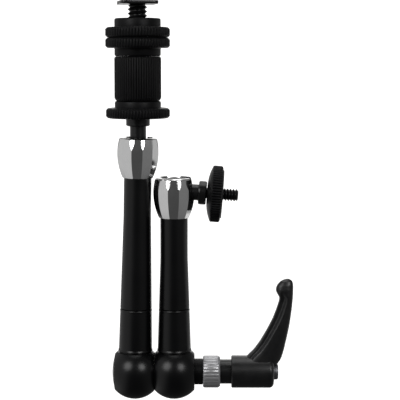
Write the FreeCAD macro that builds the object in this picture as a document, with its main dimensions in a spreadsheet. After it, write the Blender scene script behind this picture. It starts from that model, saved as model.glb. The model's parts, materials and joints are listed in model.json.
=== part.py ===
"""Articulating friction arm, folded: a long and a short arm on one tie bolt.

The frame's origin is the centre of the shoe foot's top face, +Z up, and the arm hangs from it.
The long arm's axis leans towards the short arm by the play at the elbow, as it does when folded.
"""
import FreeCAD, Part
import math
import os

import Sketcher
from FreeCAD import Rotation, Vector

SIZES = {
    # Shoe adapter, from the foot down
    "foot_side": 18.6,
    "foot_thick": 1.8,
    "foot_corner": 0.9,
    "foot_turn": 12.0,
    "rail_gap": 6.8,
    "post_radius": 4.8,
    "post_grip": 10.0,
    "ring_radius": 15.9,
    "ring_flange": 5.1,
    "ring_edge": 0.9,
    "ring_teeth": 64,
    "knurl_depth": 0.45,
    "collar_radius": 11.4,
    "upper_collar": 4.3,
    "lower_collar": 4.0,
    "collar_edge": 0.7,
    "adapter_radius": 11.55,
    "adapter_height": 21.9,
    "adapter_edge": 0.8,
    "adapter_teeth": 60,
    "adapter_knurl": 0.3,
    "wheel_radius": 15.8,
    "wheel_flange": 5.0,
    "wheel_collar": 3.5,
    "face_gap": 0.05,
    "fit": 0.05,
    "overrun": 1.0,
    "drill_spare": 0.5,
    # Ball studs
    "ball_radius": 6.9,
    "shank_radius": 4.0,
    "shank_length": 12.25,
    "stop_radius": 5.9,
    "stop_height": 3.9,
    "stop_edge": 0.5,
    "relief_radius": 2.65,
    "relief_length": 0.6,
    "screw_radius": 3.175,
    "screw_guide": 0.2,
    "screw_edge": 0.6,
    "adapter_grip": 8.0,
    "screw_reach": 32.0,
    "stud_droop": 4.4,
    # Lock disc and pad on the camera screw
    "disc_start": 16.5,
    "disc_hub_radius": 5.0,
    "disc_back_radius": 9.0,
    "disc_back_height": 2.7,
    "disc_radius": 14.05,
    "disc_flange": 4.55,
    "disc_edge": 0.7,
    "pad_radius": 12.0,
    "pad_thick": 0.5,
    # Arms
    "short_reach": 91.9,
    "reach_step": 19.95,
    "arm_lean": 1.03,
    "knuckle_radius": 13.65,
    "knuckle_inner": 9.83,
    "knuckle_outer": 10.2,
    "knuckle_edge": 0.8,
    "knuckle_shoulder": 10.4,
    "knuckle_gap": 0.1,
    "neck_entry": 2.0,
    "neck_root_radius": 7.9,
    "neck_root_height": 1.0,
    "neck_base_radius": 8.375,
    "neck_base_height": 1.6,
    "seam_height": 32.4,
    "seam_edge": 0.25,
    "spigot_radius": 5.4,
    "spigot_length": 8.0,
    "tube_top_radius": 6.85,
    "tube_top_edge": 0.4,
    "tube_bore": 4.4,
    "tube_below_ball": 9.6,
    "long_straight": 32.35,
    "short_straight": 33.4,
    # Caps
    "cap_height": 20.1,
    "cap_rim": 5.7,
    "cap_crest_radius": 10.2,
    "cap_crest_depth": 7.3,
    "cap_flat_curve": 34.0,
    "cap_flats": 8,
    "cap_corner_radius": 11.3,
    "cap_foot_radius": 7.4,
    "cap_foot_slope": 0.533,
    "cap_edge_radius": 9.45,
    "cap_edge_depth": 0.5,
    "cap_top_radius": 8.0,
    "cap_top_slope": 0.21,
    "cap_mouth_radius": 6.25,
    "cap_lip_radius": 5.15,
    "slot_width": 8.5,
    "slot_drop": 0.8,
    # Push rods and ball seats
    "rod_radius": 2.5,
    "seat_radius": 6.8,
    "seat_top": 5.0,
    "seat_base": 8.8,
    # Elbow
    "bolt_radius": 3.0,
    "cavity_radius": 6.55,
    "cavity_depth": 3.6,
    "wedge_radius": 6.4,
    "wedge_mid_radius": 4.5,
    "wedge_tip_radius": 3.6,
    "wedge_angle": 30.0,
    "spring_rim_radius": 6.0,
    "spring_hole_radius": 3.3,
    "spring_thick": 0.6,
    "washer_radius": 8.5,
    "washer_thick": 1.6,
    "end_cap_radius": 7.25,
    "end_cap_edge": 0.3,
    "end_cap_dome": 1.25,
    "plug_radius": 6.45,
    "plug_length": 2.2,
    # Spacer, serrated ring and lever
    "spacer_radius": 6.5,
    "spacer_length": 4.25,
    "spacer_entry": 2.0,
    "spacer_edge": 0.3,
    "thrust_radius": 7.95,
    "thrust_length": 8.65,
    "thrust_teeth": 24,
    "thrust_depth": 0.45,
    "thrust_edge": 1.6,
    "thrust_edge_fall": 0.9,
    "sleeve_radius": 6.1,
    "sleeve_length": 5.65,
    "shaft_radius": 5.5,
    "shaft_root": 5.0,
    "shaft_length": 8.3,
    "spline_length": 3.3,
    "spline_teeth": 20,
    "nut_depth": 9.5,
    "bolt_grip": 9.3,
    "lever_lift": 3.5,
    "lift_spare": 0.2,
    "blade_height": 47.5,
    "hub_radius": 8.1,
    "hub_length": 21.35,
    "hub_edge": 1.6,
    "hub_web": 1.5,
    "hub_bore": 5.6,
    "chamber_radius": 4.4,
    "shank_hole": 2.6,
    "lever_screw_radius": 2.0,
    "lever_head_radius": 4.0,
    "lever_head_proud": 2.25,
    "lever_head_sunk": 0.6,
    "lever_head_edge": 0.9,
    "coil_wire": 0.7,
    "coil_turns": 5,
    "coil_steps": 12,
}

# Each section of the lever's blade, as shares of its height: level, middle, width, thickness
BLADE = [
    (0.095, 0.330, 0.346, 0.232),
    (0.189, 0.372, 0.347, 0.219),
    (0.379, 0.463, 0.257, 0.189),
    (0.568, 0.529, 0.192, 0.164),
    (0.695, 0.561, 0.154, 0.145),
    (0.758, 0.573, 0.147, 0.139),
    (0.821, 0.567, 0.171, 0.145),
    (0.884, 0.561, 0.187, 0.143),
    (0.937, 0.568, 0.164, 0.124),
    (0.977, 0.581, 0.109, 0.091),
    (1.000, 0.587, 0.051, 0.042),
]

doc = FreeCAD.newDocument("friction_arm")
sheet = doc.addObject("Spreadsheet::Sheet", "Sizes")
for row, (alias, number) in enumerate(SIZES.items(), start=1):
    sheet.set(f"A{row}", alias)
    sheet.set(f"B{row}", str(number))
    sheet.setAlias(f"B{row}", alias)
doc.recompute()


class Size:
    """A length or angle that knows its number and the expression that gives it."""

    def __init__(self, value, text):
        self.value = float(value)
        self.text = text

    def __add__(self, other):
        other = as_size(other)
        return Size(self.value + other.value, f"({self.text}+{other.text})")

    def __sub__(self, other):
        other = as_size(other)
        return Size(self.value - other.value, f"({self.text}-{other.text})")

    def __mul__(self, other):
        other = as_size(other)
        return Size(self.value * other.value, f"({self.text}*{other.text})")

    def __truediv__(self, other):
        other = as_size(other)
        return Size(self.value / other.value, f"({self.text}/{other.text})")

    def __neg__(self):
        return Size(-self.value, f"(0-{self.text})")

    __radd__ = __add__
    __rmul__ = __mul__


def as_size(item):
    """A plain number as a Size."""
    return item if isinstance(item, Size) else Size(item, f"{float(item)}")


def root(item):
    return Size(math.sqrt(item.value), f"sqrt({item.text})")


def sine(angle):
    return Size(math.sin(math.radians(angle.value)), f"sin({angle.text})")


def cosine(angle):
    return Size(math.cos(math.radians(angle.value)), f"cos({angle.text})")


def tangent(angle):
    return Size(math.tan(math.radians(angle.value)), f"tan({angle.text})")


class Sheet:
    """Gives each cell of the sheet as a Size."""

    def __getattr__(self, alias):
        return Size(getattr(sheet, alias), f"Sizes.{alias}")


S = Sheet()

# Places that several pieces share
long_reach = S.short_reach + S.reach_step
ring_top = S.foot_thick + S.rail_gap
upper_flange_end = ring_top + S.upper_collar + S.ring_flange
lower_ring_end = upper_flange_end + S.face_gap + S.ring_flange + S.lower_collar
adapter_top = lower_ring_end + S.face_gap
adapter_end = adapter_top + S.adapter_height
wheel_top = adapter_end + S.face_gap
wheel_height = S.wheel_collar + S.wheel_flange
stop_top = wheel_top + wheel_height + S.face_gap
ball_depth = stop_top + S.stop_height + S.shank_length
elbow_z = -(ball_depth + long_reach * cosine(S.arm_lean))
long_x = -(long_reach * sine(S.arm_lean))
contact_x = long_x + S.knuckle_inner + S.knuckle_gap / 2
short_x = contact_x + S.knuckle_inner + S.knuckle_gap / 2
knuckle_end = short_x + S.knuckle_outer
ring_x = knuckle_end + S.spacer_length
insert_x = ring_x + S.thrust_length
hub_x = insert_x + S.sleeve_length
pad_face = S.disc_start + S.disc_back_height + S.disc_flange + S.pad_thick
bolt_hole = S.bolt_radius + S.fit
screw_hole = S.screw_radius + S.fit
socket_radius = S.ball_radius + S.fit


class Arm:
    """Where an arm stands: its knuckle's place, its lean, its reach and straight top part."""

    def __init__(self, name, x, lean, reach, straight, outward, slot_plane):
        self.name = name
        self.x = x
        self.lean = lean
        self.reach = reach
        self.taper_top = reach - straight
        self.outward = outward
        self.slot_plane = slot_plane


LONG = Arm("long", long_x, S.arm_lean, long_reach, S.long_straight, -1, "XZ_Plane")
SHORT = Arm("short", short_x, None, S.short_reach, S.short_straight, 1, "YZ_Plane")


def place(piece, x=0.0, z=0.0, axis=Vector(0, 1, 0), angle=None):
    """Puts a piece at x and z, turned by angle about axis, all tied to the sheet."""
    if angle is not None:
        piece.Placement.Rotation = Rotation(axis, max(angle.value, 1.0))
        piece.setExpression("Placement.Rotation.Angle", angle.text)
    piece.setExpression("Placement.Base.x", as_size(x).text)
    piece.setExpression("Placement.Base.z", as_size(z).text)
    return piece


def place_on_arm(piece, arm, along=None):
    """Puts a piece on an arm's axis, at a distance from the elbow."""
    if arm.lean is None:
        return place(piece, arm.x, elbow_z if along is None else elbow_z + along)
    if along is None:
        return place(piece, arm.x, elbow_z, angle=arm.lean)
    x = arm.x + along * sine(arm.lean)
    z = elbow_z + along * cosine(arm.lean)
    return place(piece, x, z, angle=arm.lean)


def origin_feature(body, role):
    """One of a body's own planes or axes, by its role."""
    return next(o for o in body.Origin.OriginFeatures if o.Role == role)


def arc_between(start, end, radius):
    """The short arc from start to end: counter-clockwise for a positive radius."""
    chord = end - start
    middle = (start + end) / 2
    height = math.sqrt(max(radius**2 - (chord.Length / 2) ** 2, 0.0))
    left = Vector(-chord.y, chord.x, 0).normalize()
    centre = middle + left * height * (1 if radius > 0 else -1)
    first, last = (start, end) if radius > 0 else (end, start)
    angles = [math.atan2(p.y - centre.y, p.x - centre.x) for p in (first, last)]
    return Part.ArcOfCircle(Part.Circle(centre, Vector(0, 0, 1), abs(radius)), *angles)


def tie(sketch, constraint, text):
    number = sketch.addConstraint(constraint)
    sketch.setExpression(f"Constraints[{number}]", text)


def draw(body, role, name, points):
    """A closed sketch through points (x, y), each tied to its sizes.

    A third value makes the edge that leaves a point an arc of that radius, a fourth turns it
    clockwise.
    """
    sketch = body.newObject("Sketcher::SketchObject", name)
    sketch.AttachmentSupport = [(origin_feature(body, role), "")]
    sketch.MapMode = "FlatFace"
    points = [tuple(as_size(v) for v in p) for p in points]
    spots = [Vector(p[0].value, p[1].value, 0) for p in points]
    leaving, arriving = [], []
    for i, point in enumerate(points):
        start, end = spots[i], spots[(i + 1) % len(spots)]
        clockwise = len(point) == 4
        if len(point) == 2:
            sketch.addGeometry(Part.LineSegment(start, end), False)
        else:
            radius = -point[2].value if clockwise else point[2].value
            sketch.addGeometry(arc_between(start, end, radius), False)
        leaving.append(2 if clockwise else 1)
        arriving.append(1 if clockwise else 2)
    for i, point in enumerate(points):
        after = (i + 1) % len(points)
        joint = Sketcher.Constraint("Coincident", i, arriving[i], after, leaving[after])
        sketch.addConstraint(joint)
        spot = spots[i]
        across = Sketcher.Constraint("DistanceX", -1, 1, i, leaving[i], spot.x)
        tie(sketch, across, point[0].text)
        up = Sketcher.Constraint("DistanceY", -1, 1, i, leaving[i], spot.y)
        tie(sketch, up, point[1].text)
        if len(point) > 2:
            bend = Sketcher.Constraint("Radius", i, point[2].value)
            tie(sketch, bend, point[2].text)
    return sketch


def turned(label, points, along="Z"):
    """A body turned about Z from (radius, height) points, or about X from (place, radius)."""
    body = doc.addObject("PartDesign::Body", label)
    body.Label = label
    sketch = draw(body, "XZ_Plane", f"{label}_profile", points)
    turn = body.newObject("PartDesign::Revolution", f"{label}_turn")
    turn.Profile = sketch
    turn.ReferenceAxis = (sketch, ["V_Axis" if along == "Z" else "H_Axis"])
    turn.Angle = 360
    return body


def rod_body(label, radius, low, high, along="Z"):
    """A plain round bar from low to high."""
    if along == "Z":
        return turned(label, [(0, low), (radius, low), (radius, high), (0, high)])
    return turned(label, [(low, 0), (low, radius), (high, radius), (high, 0)], along)


def toothed_bar(label, teeth, outer, inner, low, high, along="Z"):
    """A bar whose section has pointed teeth between two radii."""
    tips = []
    for i in range(2 * round(teeth.value)):
        radius = (outer if i % 2 == 0 else inner).value
        angle = math.pi * i / round(teeth.value)
        tips.append(Vector(radius * math.cos(angle), radius * math.sin(angle), low.value))
    face = Part.Face(Part.makePolygon(tips + tips[:1]))
    bar = face.extrude(Vector(0, 0, high.value - low.value))
    if along == "X":
        bar.rotate(Vector(0, 0, 0), Vector(0, 1, 0), 90)
    piece = doc.addObject("Part::Feature", label)
    piece.Shape = bar
    return piece


def common(label, base, tool):
    piece = doc.addObject("Part::Common", label)
    piece.Base = base
    piece.Tool = tool
    piece.Label = label
    return piece


def cut(label, base, tool):
    piece = doc.addObject("Part::Cut", label)
    piece.Base = base
    piece.Tool = tool
    piece.Label = label
    return piece


def fuse(label, base, tool):
    piece = doc.addObject("Part::Fuse", label)
    piece.Base = base
    piece.Tool = tool
    piece.Label = label
    return piece


def knurled(label, points, teeth, radius, depth, height):
    """A turned piece whose outside carries straight teeth from end to end."""
    blank = turned(f"{label}_blank", points)
    stock = toothed_bar(
        f"{label}_stock", teeth, radius, radius - depth, -S.overrun, height + S.overrun
    )
    return common(label, blank, stock)


def shoe_foot():
    """Square foot plate with its round post below; its top face is at z = 0."""
    body = doc.addObject("PartDesign::Body", "shoe_foot")
    body.Label = "shoe_foot"
    half = S.foot_side / 2
    near = half - S.foot_corner
    corners = [
        (-near, -half),
        (near, -half),
        (half, -near),
        (half, near),
        (near, half),
        (-near, half),
        (-half, near),
        (-half, -near),
    ]
    plate = draw(body, "XY_Plane", "foot_outline", corners)
    slab = body.newObject("PartDesign::Pad", "foot_plate")
    slab.Profile = plate
    slab.Reversed = True
    slab.setExpression("Length", S.foot_thick.text)
    low = -(adapter_top + S.post_grip)
    points = [(0, low), (S.post_radius, low), (S.post_radius, 0), (0, 0)]
    section = draw(body, "XZ_Plane", "post_profile", points)
    post = body.newObject("PartDesign::Revolution", "post")
    post.Profile = section
    post.ReferenceAxis = (section, ["V_Axis"])
    post.Angle = 360
    return place(body, axis=Vector(0, 0, 1), angle=S.foot_turn)


def ring_nut(label, collar):
    """Knurled flange at the bottom, smooth collar on top, bored for the post."""
    bore = S.post_radius + S.fit
    top = S.ring_flange + collar
    points = [
        (bore, 0),
        (S.ring_radius - S.ring_edge, 0),
        (S.ring_radius, S.ring_edge),
        (S.ring_radius, S.ring_flange - S.ring_edge),
        (S.ring_radius - S.ring_edge, S.ring_flange),
        (S.collar_radius, S.ring_flange),
        (S.collar_radius, top - S.collar_edge),
        (S.collar_radius - S.collar_edge, top),
        (bore, top),
    ]
    return knurled(label, points, S.ring_teeth, S.ring_radius, S.knurl_depth, top)


def adapter_body():
    """Knurled cylinder with a blind hole at each end, for the post and the stud."""
    edge = S.adapter_radius - S.adapter_edge
    post_hole = S.post_radius + S.fit
    floor = S.adapter_height - S.post_grip - S.drill_spare
    ceiling = S.adapter_grip + S.drill_spare
    points = [
        (0, ceiling),
        (screw_hole, ceiling),
        (screw_hole, 0),
        (edge - S.adapter_edge, 0),
        (S.adapter_radius, S.adapter_edge * 2),
        (S.adapter_radius, S.adapter_height - S.adapter_edge),
        (edge, S.adapter_height),
        (post_hole, S.adapter_height),
        (post_hole, floor),
        (0, floor),
    ]
    piece = knurled(
        "adapter_body",
        points,
        S.adapter_teeth,
        S.adapter_radius,
        S.adapter_knurl,
        S.adapter_height,
    )
    return place(piece, z=-adapter_end)


def shoe_lock_wheel():
    """Knurled wheel with a smooth collar above it, bored for the stud's thread."""
    points = [
        (screw_hole, 0),
        (S.wheel_radius - S.ring_edge, 0),
        (S.wheel_radius, S.ring_edge),
        (S.wheel_radius, S.wheel_flange - S.ring_edge),
        (S.wheel_radius - S.ring_edge, S.wheel_flange),
        (S.collar_radius, S.wheel_flange),
        (S.collar_radius, wheel_height - S.collar_edge),
        (S.collar_radius - S.collar_edge, wheel_height),
        (screw_hole, wheel_height),
    ]
    piece = knurled(
        "shoe_lock_wheel", points, S.ring_teeth, S.wheel_radius, S.knurl_depth, wheel_height
    )
    return place(piece, z=-(wheel_top + wheel_height))


def ball_stud(label, reach, guide_end=None):
    """Ball, shank, collar and screw on one axis, with the ball's centre at the origin.

    Up to guide_end, where one is given, the screw is thinner: a disc rests on it there.
    """
    meet = root(S.ball_radius * S.ball_radius - S.shank_radius * S.shank_radius)
    stop_end = S.shank_length + S.stop_height
    relief_end = stop_end + S.relief_length
    thin = S.screw_radius - S.screw_guide
    points = [
        (0, -S.ball_radius, S.ball_radius),
        (S.ball_radius, 0, S.ball_radius),
        (S.shank_radius, meet),
        (S.shank_radius, S.shank_length),
        (S.stop_radius - S.stop_edge, S.shank_length),
        (S.stop_radius, S.shank_length + S.stop_edge),
        (S.stop_radius, stop_end - S.stop_edge),
        (S.stop_radius - S.stop_edge, stop_end),
        (S.relief_radius, stop_end),
        (S.relief_radius, relief_end),
    ]
    if guide_end is None:
        points.append((S.screw_radius, relief_end))
    else:
        points += [(thin, relief_end), (thin, guide_end), (S.screw_radius, guide_end)]
    points += [
        (S.screw_radius, reach - S.screw_edge),
        (S.screw_radius - S.screw_edge, reach),
        (0, reach),
    ]
    return turned(label, points)


def lock_disc():
    """Knurled disc with a coned back, on the camera screw."""
    back = S.disc_start + S.disc_back_height
    face = back + S.disc_flange
    points = [
        (screw_hole, S.disc_start),
        (S.disc_hub_radius, S.disc_start),
        (S.disc_back_radius, back),
        (S.disc_radius - S.disc_edge, back),
        (S.disc_radius, back + S.disc_edge),
        (S.disc_radius, face - S.disc_edge),
        (S.disc_radius - S.disc_edge, face),
        (screw_hole, face),
    ]
    return knurled("lock_disc", points, S.ring_teeth, S.disc_radius, S.knurl_depth, face)


def disc_pad():
    """Thin ring bonded to the lock disc's face."""
    low = pad_face - S.pad_thick
    points = [
        (screw_hole, low),
        (S.pad_radius, low),
        (S.pad_radius, pad_face),
        (screw_hole, pad_face),
    ]
    return turned("disc_pad", points)


def place_on_stud(piece):
    """Puts a piece on the short arm's stud, which points outwards and a little down."""
    return place(piece, short_x, elbow_z + S.short_reach, angle=S.stud_droop + 90)


def arm_radius(arm, height):
    """Outer radius of an arm's cone at a height above the elbow."""
    low = S.knuckle_shoulder + S.neck_base_height
    share = (height - low) / (arm.taper_top - low)
    return S.neck_base_radius - (S.neck_base_radius - S.tube_top_radius) * share


def neck(arm):
    """The knuckle's turned neck with the spigot that enters the tube."""
    low = S.knuckle_shoulder - S.neck_entry
    seam = arm_radius(arm, S.seam_height)
    top = S.seam_height + S.spigot_length
    points = [
        (0, low),
        (S.neck_root_radius, low),
        (S.neck_root_radius, S.knuckle_shoulder + S.neck_root_height),
        (S.neck_base_radius, S.knuckle_shoulder + S.neck_base_height),
        (seam, S.seam_height - S.seam_edge),
        (seam - S.seam_edge, S.seam_height),
        (S.spigot_radius, S.seam_height),
        (S.spigot_radius, top),
        (0, top),
    ]
    piece = turned(f"{arm.name}_neck", points)
    return lean_in_place(piece, arm)


def lean_in_place(piece, arm):
    """Leans a piece of the knuckle with its arm, about the knuckle's centre."""
    return piece if arm.lean is None else place(piece, angle=arm.lean)


def knuckle_void(arm):
    """Wedge cavity, bolt hole and washer recess as one turned solid along the bolt."""
    out = arm.outward
    inner = S.knuckle_inner + S.overrun
    recess = S.knuckle_inner - (S.washer_thick - S.knuckle_gap) / 2
    washer = S.washer_radius + S.fit
    outer = S.knuckle_outer + S.overrun
    points = [
        (inner * -out, 0),
        (inner * -out, washer),
        (recess * -out, washer),
        (recess * -out, bolt_hole),
        (S.cavity_depth * -out, bolt_hole),
        (S.cavity_depth * -out, S.cavity_radius),
        (outer * out, S.cavity_radius),
        (outer * out, 0),
    ]
    return turned(f"{arm.name}_void", points, "X")


def cheek(distance):
    """Radii where a cheek's rounded edge meets its flat, and where it meets the ball."""
    inset = distance - S.knuckle_edge
    core = S.knuckle_radius - S.knuckle_edge
    rim = root(core * core - inset * inset)
    grow = S.knuckle_radius / core
    return rim, inset * grow, rim * grow


def knuckle_ball(arm):
    """Ball turned about the bolt, with two flat cheeks whose edges are rounded."""
    low, high = S.knuckle_outer, S.knuckle_inner
    if arm.outward > 0:
        low, high = high, low
    low_rim, low_x, low_radius = cheek(low)
    high_rim, high_x, high_radius = cheek(high)
    points = [
        (-low, 0),
        (-low, low_rim, S.knuckle_edge, -1),
        (-low_x, low_radius, S.knuckle_radius, -1),
        (high_x, high_radius, S.knuckle_edge, -1),
        (high, high_rim),
        (high, 0),
    ]
    return turned(f"{arm.name}_ball", points, "X")


def knuckle(arm):
    """Ball with flat cheeks and a shoulder, its neck fused on, bored for bolt and rod."""
    name = arm.name
    block = doc.addObject("Part::Box", f"{name}_block")
    beyond = S.knuckle_radius + S.overrun
    block.setExpression("Length", (beyond * 2).text)
    block.setExpression("Width", (beyond * 2).text)
    block.setExpression("Height", (beyond + S.knuckle_shoulder).text)
    block.setExpression("Placement.Base.x", (-beyond).text)
    block.setExpression("Placement.Base.y", (-beyond).text)
    block.setExpression("Placement.Base.z", (-beyond).text)
    trimmed = common(f"{name}_cheeks", knuckle_ball(arm), block)
    whole = fuse(f"{name}_whole", trimmed, neck(arm))
    hollow = cut(f"{name}_hollow", whole, knuckle_void(arm))
    top = S.seam_height + S.spigot_length + S.overrun
    bore = rod_body(f"{name}_rod_bore", S.rod_radius + S.fit, 0, top)
    piece = cut(f"{name}_knuckle", hollow, lean_in_place(bore, arm))
    return place(piece, arm.x, elbow_z)


def tube(arm):
    """Tapered tube, straight under the cap, counterbored for the neck's spigot."""
    top = arm.reach - S.tube_below_ball
    seam = arm_radius(arm, S.seam_height)
    socket = S.spigot_radius + S.fit
    socket_top = S.seam_height + S.spigot_length + S.fit
    points = [
        (socket, S.seam_height),
        (seam - S.seam_edge, S.seam_height),
        (seam, S.seam_height + S.seam_edge),
        (S.tube_top_radius, arm.taper_top),
        (S.tube_top_radius, top - S.tube_top_edge),
        (S.tube_top_radius - S.tube_top_edge, top),
        (S.tube_bore, top),
        (S.tube_bore, socket_top),
        (socket, socket_top),
    ]
    return place_on_arm(turned(f"{arm.name}_tube", points), arm)


def cap(arm):
    """Eight-sided barrel cap with a coned mouth, a ball socket and one U slot to the side."""
    name = f"{arm.name}_cap"
    foot = S.cap_rim - S.cap_height
    edge_z = S.cap_rim - S.cap_edge_depth
    corner_rise = S.cap_corner_radius - S.cap_edge_radius
    corner_z = edge_z - corner_rise / S.cap_top_slope
    foot_z = foot + (S.cap_corner_radius - S.cap_foot_radius) / S.cap_foot_slope
    lip_z = root(socket_radius * socket_radius - S.cap_lip_radius * S.cap_lip_radius)
    points = [
        (socket_radius, foot),
        (S.cap_foot_radius, foot),
        (S.cap_corner_radius, foot_z),
        (S.cap_corner_radius, corner_z),
        (S.cap_edge_radius, edge_z),
        (S.cap_top_radius, S.cap_rim),
        (S.cap_mouth_radius, S.cap_rim),
        (S.cap_lip_radius, lip_z, socket_radius, -1),
        (socket_radius, 0),
    ]
    body = turned(name, points)
    crest_z = S.cap_rim - S.cap_crest_depth
    far = S.cap_corner_radius + S.overrun
    high = S.cap_rim + S.overrun
    low = foot - S.overrun
    curve = S.cap_flat_curve
    flat_points = []
    for height in (low, high):
        drop = height - crest_z
        fall = curve - root(curve * curve - drop * drop)
        flat_points.append((S.cap_crest_radius - fall, height))
    outline = [flat_points[0] + (curve,), flat_points[1], (far, high), (far, low)]
    sketch = draw(body, "XZ_Plane", f"{name}_flat_outline", outline)
    flat = body.newObject("PartDesign::Pocket", f"{name}_flat")
    flat.Profile = sketch
    flat.Type = "ThroughAll"
    flat.Midplane = True
    pattern = body.newObject("PartDesign::PolarPattern", f"{name}_flats")
    pattern.Originals = [flat]
    pattern.Axis = (origin_feature(body, "Z_Axis"), [""])
    pattern.Angle = 360
    pattern.setExpression("Occurrences", S.cap_flats.text)
    body.Tip = pattern
    half = S.slot_width / 2
    drop = -S.slot_drop
    slot_points = [
        (-half, drop, half),
        (0, drop - half, half),
        (half, drop),
        (half, high),
        (-half, high),
    ]
    opening = draw(body, arm.slot_plane, f"{name}_slot_outline", slot_points)
    slot = body.newObject("PartDesign::Pocket", f"{name}_slot")
    slot.Profile = opening
    slot.Type = "Length"
    slot.Reversed = arm.slot_plane == "YZ_Plane"
    slot.setExpression("Length", far.text)
    body.Tip = slot
    return place_on_arm(body, arm, arm.reach)


def push_rod(arm):
    """Round-nosed rod from the wedge to the ball seat."""
    rise = (S.rod_radius + S.fit) / cosine(S.wedge_angle)
    nose = S.wedge_mid_radius + rise
    top = arm.reach - S.seat_base
    points = [
        (0, nose - S.rod_radius, S.rod_radius),
        (S.rod_radius, nose),
        (S.rod_radius, top),
        (0, top),
    ]
    return place_on_arm(turned(f"{arm.name}_push_rod", points), arm)


def ball_seat(arm):
    """Shallow cup that the rod presses against the ball."""
    rim = root(socket_radius * socket_radius - S.seat_top * S.seat_top)
    points = [
        (0, -S.seat_base),
        (S.seat_radius, -S.seat_base),
        (S.seat_radius, -S.seat_top),
        (rim, -S.seat_top, socket_radius, -1),
        (0, -socket_radius),
    ]
    return place_on_arm(turned(f"{arm.name}_ball_seat", points), arm, arm.reach)


def wedge_point(radius):
    """Place along the bolt where the wedge's cone has this radius, outward positive."""
    return (radius - S.wedge_mid_radius) / tangent(S.wedge_angle)


def wedge(arm, end):
    """Cone on the tie bolt, small end towards the other knuckle."""
    out = arm.outward
    tip = wedge_point(S.wedge_tip_radius)
    points = [
        (tip * out, bolt_hole),
        (tip * out, S.wedge_tip_radius),
        (wedge_point(S.wedge_radius) * out, S.wedge_radius),
        (end * out, S.wedge_radius),
        (end * out, bolt_hole),
    ]
    return place(turned(f"{arm.name}_wedge", points, "X"), arm.x, elbow_z)


def disc_spring(arm):
    """Coned washer between the cavity's floor and the wedge's tip."""
    out = arm.outward
    tip = wedge_point(S.wedge_tip_radius)
    points = [
        (S.cavity_depth * -out, S.spring_rim_radius),
        ((S.spring_thick - S.cavity_depth) * out, S.spring_rim_radius),
        (tip * out, S.spring_hole_radius),
        ((tip - S.spring_thick) * out, S.spring_hole_radius),
    ]
    return place(turned(f"{arm.name}_disc_spring", points, "X"), arm.x, elbow_z)


def friction_washer():
    half = S.washer_thick / 2
    points = [
        (-half, bolt_hole),
        (-half, S.washer_radius),
        (half, S.washer_radius),
        (half, bolt_hole),
    ]
    return place(turned("friction_washer", points, "X"), contact_x, elbow_z)


def tie_bolt():
    """Bolt from the end cap to inside the lever's sleeve."""
    low = -S.knuckle_outer
    high = insert_x - long_x + S.bolt_grip
    return place(rod_body("tie_bolt", S.bolt_radius, low, high, "X"), long_x, elbow_z)


def bolt_end_cap():
    """Shallow dome against the long knuckle, with a plug that bears on the wedge."""
    sag = S.end_cap_dome - S.end_cap_edge
    curve = (S.end_cap_radius * S.end_cap_radius + sag * sag) / (sag * 2)
    points = [
        (S.plug_length, bolt_hole),
        (S.plug_length, S.plug_radius),
        (0, S.plug_radius),
        (0, S.end_cap_radius),
        (-S.end_cap_edge, S.end_cap_radius, curve),
        (-S.end_cap_dome, 0),
        (0, 0),
        (0, bolt_hole),
    ]
    return place(turned("bolt_end_cap", points, "X"), long_x - S.knuckle_outer, elbow_z)


def spacer_sleeve():
    """Plain sleeve that enters the short knuckle and bears on its wedge."""
    edge = S.spacer_radius - S.spacer_edge
    points = [
        (-S.spacer_entry, bolt_hole),
        (-S.spacer_entry, S.spacer_radius),
        (S.spacer_length - S.spacer_edge, S.spacer_radius),
        (S.spacer_length, edge),
        (S.spacer_length, bolt_hole),
    ]
    return place(turned("spacer_sleeve", points, "X"), knuckle_end, elbow_z)


def clamp_ring():
    """Serrated ring on the bolt between the spacer and the lever."""
    radius = S.thrust_radius
    points = [
        (0, bolt_hole),
        (0, radius - S.spacer_edge),
        (S.spacer_edge, radius),
        (S.thrust_length - S.thrust_edge, radius),
        (S.thrust_length, radius - S.thrust_edge_fall),
        (S.thrust_length, bolt_hole),
    ]
    blank = turned("clamp_ring_blank", points, "X")
    low = -S.overrun
    high = S.thrust_length + S.overrun
    inner = radius - S.thrust_depth
    stock = toothed_bar("clamp_ring_stock", S.thrust_teeth, radius, inner, low, high, "X")
    return place(common("clamp_ring", blank, stock), ring_x, elbow_z)


def lever_insert():
    """Threaded sleeve of the lever: collar, plain shaft and splined end."""
    end = S.sleeve_length + S.shaft_length
    spline = end - S.spline_length
    tapped = S.lever_screw_radius + S.fit
    points = [
        (0, bolt_hole),
        (0, S.sleeve_radius),
        (S.sleeve_length - S.fit, S.sleeve_radius),
        (S.sleeve_length - S.fit, S.shaft_root),
        (spline, S.shaft_root),
        (spline, S.shaft_radius),
        (end, S.shaft_radius),
        (end, tapped),
        (S.nut_depth, tapped),
        (S.nut_depth, bolt_hole),
    ]
    blank = turned("lever_insert_blank", points, "X")
    teeth = toothed_bar(
        "lever_insert_teeth", S.spline_teeth, S.shaft_radius, S.shaft_root, spline, end, "X"
    )
    collar = rod_body("lever_insert_collar", S.sleeve_radius, -S.overrun, spline, "X")
    stock = fuse("lever_insert_stock", collar, teeth)
    return place(common("lever_insert", blank, stock), insert_x, elbow_z)


def blade():
    """Horn-shaped blade: a smooth loft through elliptical sections, from the hub to the tip."""
    sections = []
    for number, shares in enumerate(BLADE, start=1):
        level, middle, width, thick = (S.blade_height * share for share in shares)
        ring = doc.addObject("Part::Ellipse", f"blade_section_{number}")
        ring.MajorRadius = width.value / 2
        ring.MinorRadius = thick.value / 2
        ring.setExpression("MajorRadius", (width / 2).text)
        ring.setExpression("MinorRadius", (thick / 2).text)
        sections.append(place(ring, middle, level))
    piece = doc.addObject("Part::Loft", "lever_blade")
    piece.Sections = sections
    piece.Solid = True
    return piece


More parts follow.
